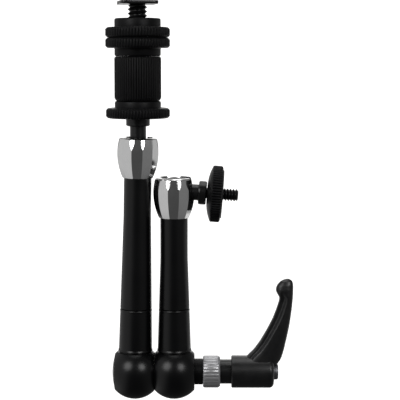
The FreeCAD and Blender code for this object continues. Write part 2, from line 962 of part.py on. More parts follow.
def lever_handle():
    """Hub and horn-shaped blade, bored for the sleeve, its splines, the spring and the screw."""
    rim = S.hub_radius - S.hub_edge
    hub_points = [
        (0, 0),
        (0, S.hub_radius - S.spacer_edge),
        (S.spacer_edge, S.hub_radius),
        (S.hub_length - S.hub_edge, S.hub_radius, S.hub_edge, -1),
        (S.hub_length, rim),
        (S.hub_length, 0),
    ]
    body = fuse("lever_solid", turned("lever_hub", hub_points, "X"), blade())
    spline_end = S.shaft_length + S.fit
    spline = S.shaft_length - S.spline_length - S.fit
    web = S.shaft_length + S.lever_lift + S.lift_spare
    web_end = web + S.hub_web
    root_fit = S.shaft_root + S.fit
    void_points = [
        (-S.overrun, 0),
        (-S.overrun, S.hub_bore),
        (spline, S.hub_bore),
        (spline, root_fit),
        (spline_end, root_fit),
        (spline_end, S.hub_bore),
        (web, S.hub_bore),
        (web, S.shank_hole),
        (web_end, S.shank_hole),
        (web_end, S.chamber_radius),
        (S.hub_length + S.overrun, S.chamber_radius),
        (S.hub_length + S.overrun, 0),
    ]
    void = turned("lever_void", void_points, "X")
    tip_fit = S.shaft_radius + S.fit
    teeth = toothed_bar(
        "lever_void_teeth", S.spline_teeth, tip_fit, root_fit, spline, spline_end, "X"
    )
    bored = cut("lever_bored", body, void)
    return place(cut("lever_handle", bored, teeth), hub_x, elbow_z)


def screw_seat():
    """Place of the screw head's underside, from the hub's start."""
    return S.hub_length - S.lever_head_sunk


def lever_screw():
    """Round-headed screw that keeps the handle on its sleeve."""
    low = S.nut_depth - S.sleeve_length + S.fit
    seat = screw_seat()
    end = S.hub_length + S.lever_head_proud
    points = [
        (low, 0),
        (low, S.lever_screw_radius),
        (seat, S.lever_screw_radius),
        (seat, S.lever_head_radius),
        (end - S.lever_head_edge, S.lever_head_radius, S.lever_head_edge, -1),
        (end, S.lever_head_radius - S.lever_head_edge),
        (end, 0),
    ]
    return place(turned("lever_screw", points, "X"), hub_x, elbow_z)


def coil_section(angle, mean, wire, height):
    """Hexagonal section of the wire, standing upright at an angle round the coil."""
    corners = []
    for side in range(6):
        turn = math.pi * side / 3
        radius = mean + wire * math.cos(turn)
        rise = height + wire * math.sin(turn)
        corners.append(Vector(radius * math.cos(angle), radius * math.sin(angle), rise))
    return Part.makePolygon(corners + corners[:1])


def lever_spring():
    """Coil between the handle's web and the screw's head."""
    wire = S.coil_wire.value / 2
    low = S.shaft_length + S.lever_lift + S.lift_spare + S.hub_web
    free = screw_seat().value - low.value - 2 * wire
    mean = S.chamber_radius.value - wire - 2 * S.fit.value
    steps = round(S.coil_turns.value * S.coil_steps.value)
    sections = [
        coil_section(2 * math.pi * i / S.coil_steps.value, mean, wire, free * i / steps)
        for i in range(steps + 1)
    ]
    coil = Part.makeLoft(sections, True, True)
    coil.rotate(Vector(0, 0, 0), Vector(0, 1, 0), 90)
    piece = doc.addObject("Part::Feature", "lever_spring")
    piece.Label = "lever_spring"
    piece.Shape = coil
    return place(piece, hub_x + low + S.coil_wire / 2, elbow_z)


def build():
    """Every piece of the arm, each with its place."""
    upper = place(ring_nut("upper_ring_nut", S.upper_collar), z=-upper_flange_end)
    lower = ring_nut_flipped("lower_ring_nut", S.lower_collar)
    wedge_end = {
        LONG: S.knuckle_outer - S.plug_length,
        SHORT: S.knuckle_outer - S.spacer_entry,
    }
    nodes = [shoe_foot(), upper, lower, adapter_body(), shoe_lock_wheel()]
    shoe_reach = ball_depth - adapter_end + S.adapter_grip
    shoe_stud = ball_stud("shoe_ball_stud", shoe_reach)
    nodes.append(place(shoe_stud, z=-ball_depth))
    for arm in (LONG, SHORT):
        nodes += [cap(arm), ball_seat(arm), push_rod(arm), tube(arm), knuckle(arm)]
        nodes += [wedge(arm, wedge_end[arm]), disc_spring(arm)]
    screw_stud = ball_stud("screw_ball_stud", S.screw_reach, pad_face + S.face_gap * 2)
    nodes.append(place_on_stud(screw_stud))
    nodes += [place_on_stud(lock_disc()), place_on_stud(disc_pad())]
    nodes += [friction_washer(), tie_bolt(), bolt_end_cap(), spacer_sleeve(), clamp_ring()]
    nodes += [lever_insert(), lever_handle(), lever_screw(), lever_spring()]
    return nodes


def ring_nut_flipped(label, collar):
    """The same ring with its collar downwards, its flange against the upper ring's."""
    piece = ring_nut(label, collar)
    piece.Placement.Rotation = Rotation(Vector(1, 0, 0), 180)
    return place(piece, z=-(upper_flange_end + S.face_gap))


def check(nodes):
    """Stops on any failed object and on any node that isn't valid solids."""
    doc.recompute()
    for item in doc.Objects:
        if {"Invalid", "Error"} & set(item.State):
            raise RuntimeError(f"{item.Label} failed: {item.State}")
    for node in nodes:
        if node.Shape.isNull() or not node.Shape.isValid() or not node.Shape.Solids:
            raise RuntimeError(f"{node.Label} has no valid solid")


def write(nodes):
    os.makedirs("parts", exist_ok=True)
    for node in nodes:
        node.Shape.exportStep(f"parts/{node.Label}.step")
        box = node.Shape.BoundBox
        print(f"{node.Label}: {node.Shape.Volume:.1f} mm3, z {box.ZMin:.2f} to {box.ZMax:.2f}")


pieces = build()
check(pieces)
write(pieces)
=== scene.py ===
"""Dresses the articulating friction arm and lights it as a product photograph.

The arm hangs folded from its shoe foot. Sizes are in millimetres until a mesh is made.
"""
from __future__ import annotations

import json
import logging
import math
from dataclasses import dataclass, field
from enum import Enum
from typing import Sequence

import bmesh
import bpy
import numpy as np
from numpy.typing import NDArray
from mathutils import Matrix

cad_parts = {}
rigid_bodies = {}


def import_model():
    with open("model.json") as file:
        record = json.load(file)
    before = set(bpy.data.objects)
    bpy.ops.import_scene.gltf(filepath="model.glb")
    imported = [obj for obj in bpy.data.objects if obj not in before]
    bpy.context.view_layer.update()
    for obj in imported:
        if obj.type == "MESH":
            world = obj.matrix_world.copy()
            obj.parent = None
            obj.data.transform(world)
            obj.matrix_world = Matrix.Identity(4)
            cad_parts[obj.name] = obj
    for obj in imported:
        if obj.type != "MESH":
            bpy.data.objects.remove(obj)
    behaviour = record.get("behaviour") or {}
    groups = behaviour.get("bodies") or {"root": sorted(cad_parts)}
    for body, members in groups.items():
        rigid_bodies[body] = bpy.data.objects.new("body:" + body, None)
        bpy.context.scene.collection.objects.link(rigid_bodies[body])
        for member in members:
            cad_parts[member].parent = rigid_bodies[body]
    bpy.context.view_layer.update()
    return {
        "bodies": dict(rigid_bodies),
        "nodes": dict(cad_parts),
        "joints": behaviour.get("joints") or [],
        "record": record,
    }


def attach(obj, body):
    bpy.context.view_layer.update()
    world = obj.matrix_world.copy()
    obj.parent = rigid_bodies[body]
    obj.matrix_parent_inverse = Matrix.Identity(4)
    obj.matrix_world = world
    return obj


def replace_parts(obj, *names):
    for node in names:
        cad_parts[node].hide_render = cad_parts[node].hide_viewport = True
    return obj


Array = NDArray[np.float64]
Tree = bpy.types.NodeTree
Socket = bpy.types.NodeSocket
log = logging.getLogger("friction_arm")

MM = 0.001
FRAME_PIXELS = 400
TURN = 2.0 * math.pi

# Where the joints lie in the frame, in millimetres, and how far the long arm leans, in degrees.
ELBOW_Z = -185.682
LONG_ARM_X = -2.0106
LONG_ARM_LEAN = 1.03
LONG_BALL = (0.0, -73.85)
SHORT_ARM_X = 17.7494
SHORT_BALL = (SHORT_ARM_X, -93.7819)

# Radii of the bores round a quarter-inch screw and round the shoe's post.
SCREW_BORE = 3.225
POST_BORE = 4.85

# Knurling of the rings, the wheel and the disc.
KNURL_TEETH = 64
KNURL_DEPTH = 0.5

# Levels of detail of the noise textures, and the refractive index of every dielectric.
PATCH_DETAIL = 3.0
GRAIN_DETAIL = 2.0
DIELECTRIC_IOR = 1.5


class Body(str, Enum):
    """The frame's bodies that carry new pieces."""

    ADAPTER = "shoe_adapter"
    UPPER_RING = "upper_ring"
    LOWER_RING = "lower_ring"
    WHEEL = "lock_wheel"
    STUD = "short_stud"
    DISC = "disc"
    RING = "serrated_ring"
    LEVER = "lever"
    LONG_CAP = "long_cap_body"
    LONG_ARM = "long_arm"
    SHORT_CAP = "short_cap_body"
    SHORT_ARM = "short_arm"
    SLEEVE = "lever_sleeve"


def linear(hex_colour: str) -> tuple[float, float, float, float]:
    """Turns an sRGB hex colour to linear light.

    Args:
        hex_colour: six hex digits after a hash.

    Returns:
        Linear red, green, blue and an alpha of 1.
    """
    parts = [int(hex_colour[i : i + 2], 16) / 255.0 for i in (1, 3, 5)]
    red, green, blue = (
        c / 12.92 if c <= 0.04045 else ((c + 0.055) / 1.055) ** 2.4 for c in parts
    )
    return red, green, blue, 1.0


def per_metre(millimetres: float) -> float:
    """Texture scale on Object coordinates that gives a pattern of this size."""
    return 1.0 / (millimetres * MM)


def add(
    tree: Tree,
    kind: str,
    settings: dict[str, object] | None = None,
    links: dict[str | int, Socket] | None = None,
) -> bpy.types.Node:
    """Adds one node with its settings and incoming links.

    Args:
        tree: the material's or world's node tree.
        kind: the node's type name.
        settings: attribute names or input names with their values.
        links: input names or numbers with the sockets that feed them.

    Returns:
        The new node.
    """
    node = tree.nodes.new(kind)
    for name, value in (settings or {}).items():
        if hasattr(node, name):
            setattr(node, name, value)
        else:
            node.inputs[name].default_value = value
    for name, socket in (links or {}).items():
        tree.links.new(socket, node.inputs[name])
    return node


def blend(tree: Tree, share: Socket, start: str, end: str) -> Socket:
    """Mixes two colours.

    Args:
        tree: the material's node tree.
        share: socket with the share of the end colour.
        start: sRGB hex at a share of 0.
        end: sRGB hex at a share of 1.

    Returns:
        The socket with the mixed colour.
    """
    mix = add(tree, "ShaderNodeMix", {"data_type": "RGBA"}, {"Factor": share})
    ends = [socket for socket in mix.inputs if socket.type == "RGBA"]
    ends[0].default_value = linear(start)
    ends[1].default_value = linear(end)
    return next(socket for socket in mix.outputs if socket.type == "RGBA")


def rise(tree: Tree, value: Socket, start: float, end: float, high: float) -> Socket:
    """Smooth step of a value: 0 up to start, and high from end on.

    Args:
        tree: the material's or world's node tree.
        value: socket that is mapped.
        start: value at which the step starts.
        end: value at which it ends.
        high: level after the step.

    Returns:
        The socket with the level.
    """
    limits = {"From Min": start, "From Max": end, "To Min": 0.0, "To Max": high}
    settings = {"interpolation_type": "SMOOTHSTEP", **limits}
    return add(tree, "ShaderNodeMapRange", settings, {"Value": value}).outputs["Result"]


def combined(tree: Tree, operation: str, first: Socket, second: Socket) -> Socket:
    """Result socket of a math node on two sockets."""
    return add(tree, "ShaderNodeMath", {"operation": operation}, {0: first, 1: second}).outputs[0]


@dataclass(frozen=True)
class Grain:
    """The finest layer of surface texture: its size and depth in millimetres."""

    size: float
    depth: float


@dataclass(frozen=True)
class Finish:
    """A surface finish, from what the real one is and how it was made.

    Attributes:
        name: the finish's common name.
        colour: sRGB hex of the clean surface.
        worn: sRGB hex that the fine variation moves towards.
        metallic: share that shines as bare metal does.
        roughness: average roughness, which the variation moves by spread.
        spread: how far roughness varies.
        grain: texture layer for the bump.
        patch: size of the soft colour variation in millimetres.
        specular: specular level of a dielectric.
    """

    name: str
    colour: str
    worn: str
    metallic: float
    roughness: float
    spread: float
    grain: Grain
    patch: float = 6.0
    specular: float = 0.5

    def material(self) -> bpy.types.Material:
        """Builds the node material.

        Returns:
            The material, ready to assign.
        """
        made = bpy.data.materials.new(self.name)
        made.use_nodes = True
        tree = made.node_tree
        tree.nodes.clear()
        at = add(tree, "ShaderNodeTexCoord").outputs["Object"]
        soft = add(
            tree,
            "ShaderNodeTexNoise",
            {"Scale": per_metre(self.patch), "Detail": PATCH_DETAIL, "Roughness": 0.6},
            {"Vector": at},
        )
        shaded = blend(tree, soft.outputs["Fac"], self.colour, self.worn)
        gloss = add(
            tree,
            "ShaderNodeMapRange",
            {
                "From Min": 0.3,
                "From Max": 0.7,
                "To Min": max(self.roughness - self.spread, 0.02),
                "To Max": self.roughness + self.spread,
            },
            {"Value": soft.outputs["Fac"]},
        )
        fine = add(
            tree,
            "ShaderNodeTexNoise",
            {"Scale": per_metre(self.grain.size), "Detail": GRAIN_DETAIL},
            {"Vector": at},
        )
        bump = add(
            tree,
            "ShaderNodeBump",
            {"Strength": 1.0, "Distance": self.grain.depth * MM},
            {"Height": fine.outputs["Fac"]},
        )
        shader = add(
            tree,
            "ShaderNodeBsdfPrincipled",
            {"Metallic": self.metallic},
            {
                "Base Color": shaded,
                "Roughness": gloss.outputs["Result"],
                "Normal": bump.outputs["Normal"],
            },
        )
        if self.metallic < 0.5:
            shader.inputs["IOR"].default_value = DIELECTRIC_IOR
            shader.inputs["Specular IOR Level"].default_value = self.specular
        out = add(tree, "ShaderNodeOutputMaterial")
        tree.links.new(shader.outputs["BSDF"], out.inputs["Surface"])
        return made


# Gloss black anodised aluminium: turned, polished, then dyed. A soft even sheen.
GLOSS_ANODISED = Finish(
    "gloss_black_anodised", "#030304", "#050506", 0.0, 0.3, 0.03, Grain(0.9, 0.0008), 18.0, 0.3
)
# Matte black anodised aluminium: knurled and bead blasted. Dull, with a fine sparkle.
MATTE_ANODISED = Finish(
    "matte_black_anodised", "#040405", "#070708", 0.0, 0.44, 0.06, Grain(0.35, 0.004), 5.0, 0.13
)
# Black oxide on steel: thin, so the steel's shine stays in it.
BLACK_OXIDE = Finish(
    "black_oxide_steel", "#080809", "#0f0f10", 0.0, 0.3, 0.04, Grain(0.4, 0.001), 6.0, 0.38
)
# Bright nickel and chrome plate on a polished cap.
CHROME = Finish(
    "chrome_plate", "#d6d6d6", "#e4e4e4", 1.0, 0.13, 0.03, Grain(0.6, 0.0006), 7.0
)
# Nickel plate on a rolled serration: softer than the caps, and a quarter of it shines as a
# dielectric does, so that its shaded side isn't as dark as bare metal's would be.
NICKEL = Finish(
    "nickel_plate", "#a4a4a6", "#b6b6b8", 0.75, 0.36, 0.04, Grain(0.5, 0.0006), 2.5
)
# Zinc plated screw, slightly dull.
ZINC = Finish("zinc_plated_screw", "#77787b", "#939497", 1.0, 0.42, 0.07, Grain(0.25, 0.004), 1.8)
# Ground steel of the inner pieces.
STEEL = Finish("ground_steel", "#8f9093", "#a5a6a8", 1.0, 0.3, 0.05, Grain(0.3, 0.002), 3.0)
# Spring steel, oil tempered.
SPRING = Finish("spring_steel", "#5b5c60", "#74757a", 1.0, 0.35, 0.05, Grain(0.3, 0.002), 3.0)
# Turned brass seats.
BRASS = Finish("turned_brass", "#b08c46", "#c4a25c", 1.0, 0.32, 0.05, Grain(0.3, 0.002), 3.0)
# Natural nylon washer.
NYLON = Finish("natural_nylon", "#c9c6b8", "#d6d3c6", 0.0, 0.5, 0.05, Grain(0.4, 0.004), 3.0)
# Moulded rubber pad on the disc.
RUBBER = Finish("black_rubber", "#0f0f10", "#171718", 0.0, 0.62, 0.05, Grain(0.3, 0.008), 2.0)
# Glass-filled nylon lever, spark-textured mould: satin with a fine grain.
GLASS_NYLON = Finish(
    "glass_filled_nylon", "#09090a", "#101011", 0.0, 0.36, 0.05, Grain(0.32, 0.010), 3.5, 0.46
)

SLOT_FINISH: dict[str, Finish] = {
    "gloss_black_aluminium": GLOSS_ANODISED,
    "matte_black_aluminium": MATTE_ANODISED,
    "black_steel": BLACK_OXIDE,
    "chrome_plate": CHROME,
    "nickel_steel": NICKEL,
    "plain_steel": STEEL,
    "spring_steel": SPRING,
    "screw_steel": ZINC,
    "brass_seat": BRASS,
    "nylon": NYLON,
    "rubber_pad": RUBBER,
    "black_nylon_glass": GLASS_NYLON,
}


def grid_faces(
    rows: int, columns: int, close_rows: bool, shift: int = 0
) -> list[tuple[int, ...]]:
    """Quads of a grid that closes round its columns.

    Args:
        rows: number of rings.
        columns: points in a ring.
        close_rows: joins the last ring to the first.
        shift: rows by which the last column is joined higher, as a thread needs.

    Returns:
        Vertex numbers of each quad, facing outwards for rings that climb counter-clockwise.
    """
    last = rows if close_rows else rows - 1
    row, column = np.meshgrid(np.arange(last), np.arange(columns), indexing="ij")
    over = (column + 1) // columns * shift
    right = (column + 1) % columns
    low, high = row + over, row + 1 + over
    if close_rows:
        low, high, above = low % rows, high % rows, (row + 1) % rows
    else:
        above = row + 1
    keep = high < rows
    quads = np.stack(
        [
            row * columns + column,
            low * columns + right,
            high * columns + right,
            above * columns + column,
        ],
        axis=-1,
    )
    return [tuple(q) for q in quads[keep].tolist()]


def closed_mesh(name: str, rings: Array, close_rows: bool, shift: int = 0) -> bpy.types.Mesh:
    """Closed mesh through rings of points, with its faces outwards.

    Args:
        name: the mesh's name.
        rings: points as [ring, place round, xyz] in millimetres.
        close_rows: joins the last ring to the first.
        shift: rows that a thread climbs in one turn.

    Returns:
        The mesh.
    """
    rows, columns = rings.shape[:2]
    faces = grid_faces(rows, columns, close_rows, shift)
    if not close_rows:
        faces.append(tuple(range(columns - 1, -1, -1)))
        faces.append(tuple(range((rows - 1) * columns, rows * columns)))
    mesh = bpy.data.meshes.new(name)
    mesh.from_pydata(rings.reshape(-1, 3) * MM, [], faces)
    work = bmesh.new()
    work.from_mesh(mesh)
    bmesh.ops.remove_doubles(work, verts=work.verts, dist=2e-6)
    bmesh.ops.dissolve_degenerate(work, edges=work.edges, dist=1e-7)
    bmesh.ops.recalc_face_normals(work, faces=work.faces)
    work.to_mesh(mesh)
    work.free()
    return mesh


def smooth(mesh: bpy.types.Mesh, sharp: float) -> None:
    """Shades a mesh smooth, but for edges that turn by more than sharp degrees."""
    mesh.polygons.foreach_set("use_smooth", np.ones(len(mesh.polygons), dtype=bool))
    mesh.set_sharp_from_angle(angle=math.radians(sharp))


def cut_out(piece: bpy.types.Object, tool: bpy.types.Mesh, sharp: float) -> None:
    """Takes the volume of a closed mesh out of a piece.

    Args:
        piece: the piece to cut.
        tool: the closed mesh, in the piece's own coordinates.
        sharp: edges that turn by more than this many degrees stay crisp.
    """
    cutter = bpy.data.objects.new("cutter", tool)
    bpy.context.scene.collection.objects.link(cutter)
    cut = piece.modifiers.new("slot", "BOOLEAN")
    cut.operation = "DIFFERENCE"
    cut.solver = "EXACT"
    cut.object = cutter
    graph = bpy.context.evaluated_depsgraph_get()
    mesh = bpy.data.meshes.new_from_object(piece.evaluated_get(graph))
    piece.modifiers.clear()
    piece.data = mesh
    bpy.data.objects.remove(cutter)
    smooth(mesh, sharp)


def shell(
    name: str,
    rings: Array,
    finish: bpy.types.Material,
    body: Body,
    close_rows: bool = False,
    shift: int = 0,
    sharp: float = 32.0,
) -> bpy.types.Object:
    """Makes a piece from rings of points, closed round and at its ends.

    Args:
        name: the piece's name.
        rings: points as [ring, place round, xyz] in millimetres.
        finish: the piece's material.
        body: the body that it rides on.
        close_rows: joins the last ring to the first, for a piece with a bore.
        shift: rows that a thread climbs in one turn.
        sharp: edges that turn by more than this many degrees stay crisp.

    Returns:
        The piece.
    """
    mesh = closed_mesh(name, rings, close_rows, shift)
    smooth(mesh, sharp)
    mesh.materials.append(finish)
    piece = bpy.data.objects.new(name, mesh)
    bpy.context.scene.collection.objects.link(piece)
    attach(piece, body.value)
    log.info("%s: %d faces", name, len(mesh.polygons))
    return piece


def around(count: int) -> Array:
    """Equally spaced angles round a turn."""
    return np.arange(count) * (TURN / count)


def swept(radius: Array, angles: Array, height: Array) -> Array:
    """Points at these radii, angles and heights, as [row, place round, xyz]."""
    level = height * np.ones_like(angles)
    return np.stack([radius * np.cos(angles), radius * np.sin(angles), level], axis=-1)


def turned_rings(profile: Sequence[tuple[float, float]], angles: Array) -> Array:
    """Rings of a turned piece: each (radius, height) row swept round Z.

    Args:
        profile: rows as (radius, height).
        angles: places round the axis.

    Returns:
        Points as [row, angle, xyz].
    """
    rows = np.asarray(profile, dtype=float)
    return swept(rows[:, :1], angles, rows[:, 1:2])


def toothed_rings(
    profile: Sequence[tuple[float, float]], teeth: int, outer: float, depth: float, per_tooth: int
) -> Array:
    """Rings of a turned piece with straight knurling.

    The radius of each point is the lesser of the profile's and the tooth's, where the tooth's
    falls from outer by depth times the sine of half a turn per tooth, to the power 0.8.

    Args:
        profile: rows as (radius, height).
        teeth: teeth round the piece.
        outer: radius over the teeth.
        depth: depth of a tooth.
        per_tooth: points for each tooth.

    Returns:
        Points as [row, place round, xyz].
    """
    angles = around(teeth * per_tooth)
    wave = np.abs(np.sin(angles * teeth / 2.0)) ** 0.8
    tooth = outer - depth * (1.0 - wave)
    rows = np.asarray(profile, dtype=float)
    return swept(np.minimum(rows[:, :1], tooth[None, :]), angles, rows[:, 1:2])


def threaded_rings(
    low: float, high: float, major: float, depth: float, pitch: float, ramp: float
) -> tuple[Array, int]:
    """Rings of a screw thread that climb with the helix.

    A row's height is its number times pitch / 10 plus pitch times the share of the turn, held
    between low and high. Its radius is a V of the given depth with a narrow flat at the crest and
    a wider one at the root, cut off near both ends by a cone so that the ends are round.

    Args:
        low: where the thread starts.
        high: where it ends.
        major: radius over the crests.
        depth: depth of the V.
        pitch: climb of one turn.
        ramp: length of the cone at each end.

    Returns:
        The rings and the number of rows in one turn.
    """
    per_turn, columns = 10, 64
    angles = around(columns)
    rows = np.arange(int((high - low) / pitch * per_turn) + 2 * per_turn + 2) - per_turn
    climb = rows[:, None] / per_turn * pitch + pitch * angles[None, :] / TURN
    height = np.clip(low + climb, low, high)
    phase = (rows[:, None] / per_turn) % 1.0
    wave = np.clip(np.abs(phase - 0.5) * 2.0 * 1.25 - 0.06, 0.0, 1.0)
    radius = major - depth * wave
    room = np.minimum(height - low, high - height)
    cone = major - depth - 0.25 + room * (depth + 0.25) / ramp
    return swept(np.minimum(radius, cone), angles, height), per_turn


def leaned(points: Array, degrees: float, offset: tuple[float, float, float]) -> Array:
    """Turns points about +Y by degrees, then moves them by offset.

    Args:
        points: points as [..., xyz].
        degrees: angle about +Y.
        offset: move after.

    Returns:
        The points in their new places.
    """
    c, s = math.cos(math.radians(degrees)), math.sin(math.radians(degrees))
    turn = np.array([[c, 0.0, s], [0.0, 1.0, 0.0], [-s, 0.0, c]])
    return points @ turn.T + np.asarray(offset)


@dataclass(frozen=True)
class Wall:
    """A lit side of the room: its direction, the cosines it fades in between, and its level."""

    towards: tuple[float, float, float]
    start: float
    end: float
    level: float


WALLS = (
    Wall((-1.0, 0.0, 0.0), 0.30, 0.80, 0.52),
    Wall((1.0, 0.0, 0.0), 0.30, 0.85, 0.12),
    Wall((0.87, 0.49, 0.0), 0.80, 0.97, 0.35),
)
UNLIT_LEVEL = 0.075


@dataclass
class Studio:
    """Camera, floor, backdrop and lamps, in the photograph's framing.

    Attributes:
        eye: the camera's place, near the height of the adapter.
        pitch: degrees that it looks down.
        yaw: degrees that it looks to the left.
        focal: focal length in pixels of the frame.
        rise: share of the frame's width by which its middle lies under the camera's axis.
        floor: height of the floor.
    """

    eye: tuple[float, float, float] = (33.27, -579.49, -28.57)
    pitch: float = 5.314
    yaw: float = 0.253
    focal: float = 1170.8
    rise: float = 0.08
    floor: float = -330.0

    def camera(self) -> None:
        """Camera that looks down a little, with the small shift that frames the whole arm."""
        data = bpy.data.cameras.new("camera")
        data.sensor_width = 36.0
        data.lens = 36.0 * self.focal / FRAME_PIXELS
        data.shift_y = -self.rise
        data.clip_start = 0.01
        data.clip_end = 20.0
        eye = bpy.data.objects.new("camera", data)
        eye.location = np.asarray(self.eye) * MM
        down = math.pi / 2.0 - math.radians(self.pitch)
        eye.rotation_euler = (down, 0.0, math.radians(self.yaw))
        bpy.context.scene.collection.objects.link(eye)
        bpy.context.scene.camera = eye

    def sweep(self) -> None:
        """Floor that curves up into a backdrop, well below and behind the arm."""
        front, middle, back, bend, top = 120.0, 300.0, 900.0, 300.0, 1100.0
        path = [(front, self.floor), (middle, self.floor)]
        path += [
            (back - bend + bend * math.sin(a), self.floor + bend - bend * math.cos(a))
            for a in np.linspace(0.0, math.pi / 2.0, 13)
        ]
        path.append((back, top))
        rows = np.asarray(path)
        half_width, columns = 360.0, 9
        across = self.eye[0] + np.linspace(-half_width, half_width, columns)
        level = np.ones((len(rows), columns))
        points = np.stack(
            [across[None, :] * level, rows[:, :1] * level, rows[:, 1:2] * level], axis=-1
        ).reshape(-1, 3)
        row, column = np.meshgrid(np.arange(len(rows) - 1), np.arange(columns - 1), indexing="ij")
        first = row * columns + column
        above = first + columns
        faces = np.stack([first, first + 1, above + 1, above], axis=-1).reshape(-1, 4)
        mesh = bpy.data.meshes.new("sweep")
        mesh.from_pydata(points * MM, [], faces.tolist())
        mesh.polygons.foreach_set("use_smooth", np.ones(len(mesh.polygons), dtype=bool))
        mesh.materials.append(self.paper())
        sheet = bpy.data.objects.new("sweep", mesh)
        bpy.context.scene.collection.objects.link(sheet)

    @staticmethod
    def paper() -> bpy.types.Material:
        """Paper that fades from grey under the arm to white behind it.

        Its glow there is for camera, glossy and transmission rays only, so it lights nothing.

        Returns:
            The material.
        """
        made = bpy.data.materials.new("white_paper")
        made.use_nodes = True
        tree = made.node_tree
        tree.nodes.clear()
        rays = add(tree, "ShaderNodeLightPath").outputs
        direct = combined(tree, "MAXIMUM", rays["Is Camera Ray"], rays["Is Glossy Ray"])
        seen = combined(tree, "MAXIMUM", direct, rays["Is Transmission Ray"])
        place = add(tree, "ShaderNodeTexCoord")
        depth = add(tree, "ShaderNodeSeparateXYZ", None, {"Vector": place.outputs["Object"]})
        fade = rise(tree, depth.outputs["Y"], 120.0 * MM, 420.0 * MM, 0.85)
        strength = combined(tree, "MULTIPLY", seen, fade)
        glow = add(
            tree, "ShaderNodeEmission", {"Color": linear("#ffffff")}, {"Strength": strength}
        )
        tone = blend(tree, fade, "#5e5e5e", "#f4f3f1")
        matte = add(tree, "ShaderNodeBsdfDiffuse", None, {"Color": tone})
        both = add(tree, "ShaderNodeAddShader", None, {0: matte.outputs[0], 1: glow.outputs[0]})
        add(tree, "ShaderNodeOutputMaterial", None, {"Surface": both.outputs[0]})
        return made

    @staticmethod
    def lamp(name: str, towards: tuple[float, float, float], size: float, power: float) -> None:
        """A round soft lamp aimed at the arm's middle, 900 mm from it.

        Args:
            name: the lamp's name.
            towards: direction from the arm to the lamp.
            size: diameter in millimetres.
            power: watts.
        """
        data = bpy.data.lights.new(name, "AREA")
        data.shape = "DISK"
        data.size = size * MM
        data.energy = power
        lamp = bpy.data.objects.new(name, data)
        way = np.asarray(towards) / np.linalg.norm(towards)
        middle, far = np.array([20.0, 0.0, -120.0]), 900.0
        lamp.location = (middle + way * far) * MM
        heading = math.atan2(way[1], way[0])
        lamp.rotation_euler = (0.0, math.acos(way[2]), heading)
        bpy.context.scene.collection.objects.link(lamp)

    def light(self) -> None:
        """Soft key at the left, soft fill at the right and a top light."""
        self.lamp("key", (-0.505, -0.70, 0.50), 500.0, 3.4)
        self.lamp("fill", (0.51, -0.75, 0.46), 400.0, 2.6)
        self.lamp("top", (0.0, 0.15, 1.0), 700.0, 3.0)

    def room(self) -> None:
        """Room with a pale wall on the left, a greyer one on the right and the dark ahead."""
        world = bpy.data.worlds.new("room")
        world.use_nodes = True
        tree = world.node_tree
        tree.nodes.clear()
        heading = add(tree, "ShaderNodeTexCoord").outputs["Generated"]
        level = add(tree, "ShaderNodeValue").outputs[0]
        level.default_value = UNLIT_LEVEL
        for wall in WALLS:
            facing = add(
                tree, "ShaderNodeVectorMath", {"operation": "DOT_PRODUCT"}, {0: heading}
            )
            facing.inputs[1].default_value = wall.towards
            lit = rise(tree, facing.outputs["Value"], wall.start, wall.end, wall.level)
            level = combined(tree, "ADD", lit, level)
        sky = add(
            tree, "ShaderNodeBackground", {"Color": linear("#ffffff")}, {"Strength": level}
        )
        add(tree, "ShaderNodeOutputWorld", None, {"Surface": sky.outputs[0]})
        bpy.context.scene.world = world

    def build(self) -> None:
        """Camera, sweep, lamps and the room round them."""
        self.camera()
        self.sweep()
        self.light()
        self.room()
        bpy.context.scene.view_settings.view_transform = "Standard"


@dataclass
class Workshop:
    """Holds the finishes as materials and dresses the frame's own nodes."""

    made: dict[str, bpy.types.Material] = field(default_factory=dict)

    def coat(self, finish: Finish) -> bpy.types.Material:
        """The material of a finish, made once.

        Args:
            finish: the finish to look up.

        Returns:
            Its material.
        """
        if finish.name not in self.made:
            self.made[finish.name] = finish.material()
        return self.made[finish.name]

    def dress_frame(self, frame: dict) -> None:
        """Gives each carried-over solid the finish of its slot.
        """
        slots = {row["node"]: row["material_slot"] for row in frame["record"]["subparts"]}
        for node, thing in frame["nodes"].items():
            coat = self.coat(SLOT_FINISH[slots[node]])
            thing.data.materials.clear()
            thing.data.materials.append(coat)


@dataclass
class KnurledRing:
    """A knurled flange with a smooth collar on one side, bored for its screw.

    Attributes:
        top: level of the upper face. flange and collar are the heights of the two parts.
        collar_first: the collar is above the flange, not below it.
    """

    name: str
    node: str
    body: Body
    top: float
    flange: float
    collar: float
    radius: float
    bore: float
    collar_first: bool = True
    collar_radius: float = 11.4

    def profile(self) -> list[tuple[float, float]]:
        """Rows (radius, height) from the bore's lower end round the outside and back.

        Returns:
            The rows.
        """
        low = self.top - self.flange - self.collar
        step = low + self.flange
        wide, slim = self.radius, self.collar_radius
        edge, lead, soft = 0.9, 0.12, 0.35
        rows = [
            (self.bore, low),
            (wide - edge - 0.6, low),
            (wide - edge, low + lead),
            (wide - lead, low + edge),
            (wide, low + edge + 0.2),
            (wide, step - edge - 0.2),
            (wide - lead, step - edge),
            (wide - edge, step - lead),
            (wide - edge - 0.6, step),
            (slim + soft, step),
            (slim, step + soft),
            (slim, self.top - 0.75),
            (slim - 0.2, self.top - 0.3),
            (slim - 0.65, self.top),
            (self.bore, self.top),
        ]
        if self.collar_first:
            return rows
        middle = self.top + low
        return [(r, middle - z) for r, z in reversed(rows)]

    def build(self, shop: Workshop) -> None:
        """Makes the ring over its solid.

        Args:
            shop: holder of the materials.
        """
        rings = toothed_rings(self.profile(), KNURL_TEETH, self.radius, KNURL_DEPTH, 6)
        piece = shell(self.name, rings, shop.coat(MATTE_ANODISED), self.body, close_rows=True)
        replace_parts(piece, self.node)


